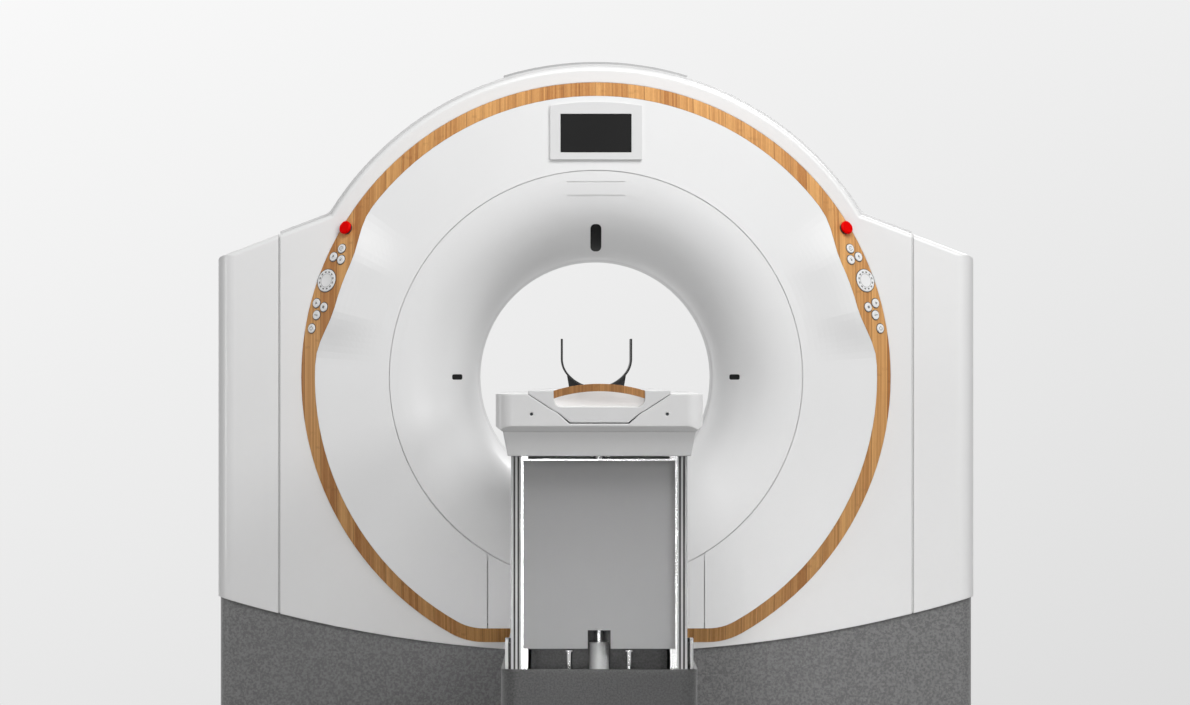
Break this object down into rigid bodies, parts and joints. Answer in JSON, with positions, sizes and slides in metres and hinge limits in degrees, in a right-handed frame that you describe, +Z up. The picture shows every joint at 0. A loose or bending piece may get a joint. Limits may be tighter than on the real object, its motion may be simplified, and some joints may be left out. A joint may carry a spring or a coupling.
{
  "type": "ct scanner",
  "caption": "Floor-standing CT scanner: domed ring gantry with flared bore, wooden trim ring with control keys and a display, and a lifting patient table with sliding cradle and head holder.",
  "frame": {"origin": "on the floor, straight below the scan centre: the bore axis crosses the scan plane 1.040 m above it", "axes": "+Z up, +Y along the bore axis from the patient table into the gantry, +X to the right seen from the table end"},
  "size_m": [2.2, 3.1, 1.975],
  "materials": {
    "cover_white": "satin lacquered moulding",
    "cover_rear": "satin lacquered moulding",
    "face_white": "satin moulded plastic",
    "bamboo": "sealed laminated bamboo",
    "grip_wood": "oiled hardwood",
    "plinth_grey": "textured speckled",
    "base_grey": "textured paint",
    "black_gloss": "dark tinted window",
    "window_film": "translucent film",
    "vent_grey": "fine texture",
    "key_white": "fine texture",
    "stop_red": "smooth",
    "frame_paint": "powder coat",
    "bearing_steel": "ground",
    "rotor_alu": "machined",
    "ring_brass": "polished tracks",
    "unit_grey": "hammer finish",
    "detector_dark": "matte",
    "belt_rubber": "ribbed",
    "table_white": "satin lacquer",
    "cradle_white": "smooth laminate",
    "rail_alu": "anodised",
    "skirt_grey": "satin paint",
    "post_steel": "bright",
    "sleeve_white": "moulded",
    "holder_dark": "fine weave laminate"
  },
  "bodies": {
    "stand": {"base_frame": "frame_paint", "main_bearing": "bearing_steel", "drive_motor": "unit_grey", "drive_belt": "belt_rubber", "brush_block": "detector_dark", "plinth": "plinth_grey", "front_cover": "cover_white", "front_face": "face_white", "service_panel": "face_white", "wood_ring": "bamboo", "front_funnel": "face_white", "laser_windows": "black_gloss", "scan_window": "window_film", "rear_funnel": "face_white", "rear_cover": "cover_rear", "left_side_cover": "cover_white", "right_side_cover": "cover_white", "roof_cover": "cover_rear", "top_vent": "vent_grey", "display_bezel": "face_white", "display_screen": "black_gloss", "table_base": "base_grey", "table_floor_plate": "frame_paint", "rail_sleeves": "rail_alu", "lift_column": "sleeve_white", "stop_posts": "post_steel"},
    "rotor": {"rotor_drum": "rotor_alu", "slip_ring": "ring_brass", "xray_tube": "rotor_alu", "collimator": "unit_grey", "detector_arc": "detector_dark", "hv_generators": "unit_grey"},
    "pulley": {"motor_pulley": "bearing_steel"},
    "lift": {"table_head": "table_white", "lift_rails": "rail_alu", "lift_frame": "post_steel", "skirt_panel": "skirt_grey", "lift_ram": "bearing_steel"},
    "cradle": {"cradle": "cradle_white", "wood_grip": "grip_wood", "head_holder": "holder_dark"},
    "roller": {"cradle_roller": "bearing_steel"},
    "left_key_1": {"left_key_1": "key_white"},
    "left_key_2": {"left_key_2": "key_white"},
    "left_key_3": {"left_key_3": "key_white"},
    "left_key_4": {"left_key_4": "key_white"},
    "left_key_5": {"left_key_5": "key_white"},
    "left_key_6": {"left_key_6": "key_white"},
    "left_key_7": {"left_key_7": "key_white"},
    "left_pad": {"left_pad": "key_white"},
    "left_stop": {"left_stop": "stop_red"},
    "right_key_1": {"right_key_1": "key_white"},
    "right_key_2": {"right_key_2": "key_white"},
    "right_key_3": {"right_key_3": "key_white"},
    "right_key_4": {"right_key_4": "key_white"},
    "right_key_5": {"right_key_5": "key_white"},
    "right_key_6": {"right_key_6": "key_white"},
    "right_key_7": {"right_key_7": "key_white"},
    "right_pad": {"right_pad": "key_white"},
    "right_stop": {"right_stop": "stop_red"}
  },
  "joints": [
    {"name": "rotor_spin", "type": "hinge", "parent": "stand", "child": "rotor", "pos_m": [0, 0.1, 1.04], "axis": [0, 1, 0], "continuous": true},
    {"name": "pulley_spin", "type": "hinge", "parent": "stand", "child": "pulley", "pos_m": [0.7, 0.1, 0.39], "axis": [0, 1, 0], "continuous": true},
    {"name": "table_lift", "type": "slide", "parent": "stand", "child": "lift", "axis": [0, 0, 1], "range_m": [-0.28, 0]},
    {"name": "cradle_slide", "type": "slide", "parent": "lift", "child": "cradle", "axis": [0, 1, 0], "range_m": [0, 1.4]},
    {"name": "roller_turn", "type": "hinge", "parent": "lift", "child": "roller", "pos_m": [0, -0.621, 0.9113], "axis": [1, 0, 0], "range_deg": [-5120, 0]},
    {"name": "left_key_1_press", "type": "slide", "parent": "stand", "child": "left_key_1", "axis": [0.5737, 0.766, -0.2898], "range_m": [0, 0.002], "stiffness_N_per_m": 900, "springref_m": -0.001},
    {"name": "left_key_2_press", "type": "slide", "parent": "stand", "child": "left_key_2", "axis": [0.5844, 0.766, -0.2676], "range_m": [0, 0.002], "stiffness_N_per_m": 900, "springref_m": -0.001},
    {"name": "left_key_3_press", "type": "slide", "parent": "stand", "child": "left_key_3", "axis": [0.584, 0.766, -0.2686], "range_m": [0, 0.002], "stiffness_N_per_m": 900, "springref_m": -0.001},
    {"name": "left_key_4_press", "type": "slide", "parent": "stand", "child": "left_key_4", "axis": [0.6215, 0.766, -0.1642], "range_m": [0, 0.002], "stiffness_N_per_m": 900, "springref_m": -0.001},
    {"name": "left_key_5_press", "type": "slide", "parent": "stand", "child": "left_key_5", "axis": [0.6226, 0.766, -0.1599], "range_m": [0, 0.002], "stiffness_N_per_m": 900, "springref_m": -0.001},
    {"name": "left_key_6_press", "type": "slide", "parent": "stand", "child": "left_key_6", "axis": [0.6276, 0.766, -0.1391], "range_m": [0, 0.002], "stiffness_N_per_m": 900, "springref_m": -0.001},
    {"name": "left_key_7_press", "type": "slide", "parent": "stand", "child": "left_key_7", "axis": [0.6336, 0.766, -0.1083], "range_m": [0, 0.002], "stiffness_N_per_m": 900, "springref_m": -0.001},
    {"name": "left_pad_press", "type": "slide", "parent": "stand", "child": "left_pad", "axis": [0.6052, 0.766, -0.2167], "range_m": [0, 0.0015], "stiffness_N_per_m": 1500, "springref_m": -0.00075},
    {"name": "left_stop_press", "type": "slide", "parent": "stand", "child": "left_stop", "axis": [0.5521, 0.766, -0.3291], "range_m": [0, 0.004], "stiffness_N_per_m": 2500, "springref_m": -0.002},
    {"name": "right_key_1_press", "type": "slide", "parent": "stand", "child": "right_key_1", "axis": [-0.5737, 0.766, -0.2898], "range_m": [0, 0.002], "stiffness_N_per_m": 900, "springref_m": -0.001},
    {"name": "right_key_2_press", "type": "slide", "parent": "stand", "child": "right_key_2", "axis": [-0.5844, 0.766, -0.2676], "range_m": [0, 0.002], "stiffness_N_per_m": 900, "springref_m": -0.001},
    {"name": "right_key_3_press", "type": "slide", "parent": "stand", "child": "right_key_3", "axis": [-0.584, 0.766, -0.2686], "range_m": [0, 0.002], "stiffness_N_per_m": 900, "springref_m": -0.001},
    {"name": "right_key_4_press", "type": "slide", "parent": "stand", "child": "right_key_4", "axis": [-0.6215, 0.766, -0.1642], "range_m": [0, 0.002], "stiffness_N_per_m": 900, "springref_m": -0.001},
    {"name": "right_key_5_press", "type": "slide", "parent": "stand", "child": "right_key_5", "axis": [-0.6226, 0.766, -0.1599], "range_m": [0, 0.002], "stiffness_N_per_m": 900, "springref_m": -0.001},
    {"name": "right_key_6_press", "type": "slide", "parent": "stand", "child": "right_key_6", "axis": [-0.6276, 0.766, -0.1391], "range_m": [0, 0.002], "stiffness_N_per_m": 900, "springref_m": -0.001},
    {"name": "right_key_7_press", "type": "slide", "parent": "stand", "child": "right_key_7", "axis": [-0.6336, 0.766, -0.1083], "range_m": [0, 0.002], "stiffness_N_per_m": 900, "springref_m": -0.001},
    {"name": "right_pad_press", "type": "slide", "parent": "stand", "child": "right_pad", "axis": [-0.6052, 0.766, -0.2167], "range_m": [0, 0.0015], "stiffness_N_per_m": 1500, "springref_m": -0.00075},
    {"name": "right_stop_press", "type": "slide", "parent": "stand", "child": "right_stop", "axis": [-0.5521, 0.766, -0.3291], "range_m": [0, 0.004], "stiffness_N_per_m": 2500, "springref_m": -0.002}
  ],
  "couplings": [
    {"joint": "pulley_spin", "follows": "rotor_spin", "ratio": 13.5},
    {"joint": "roller_turn", "follows": "cradle_slide", "rad_per_m": -63.7}
  ]
}
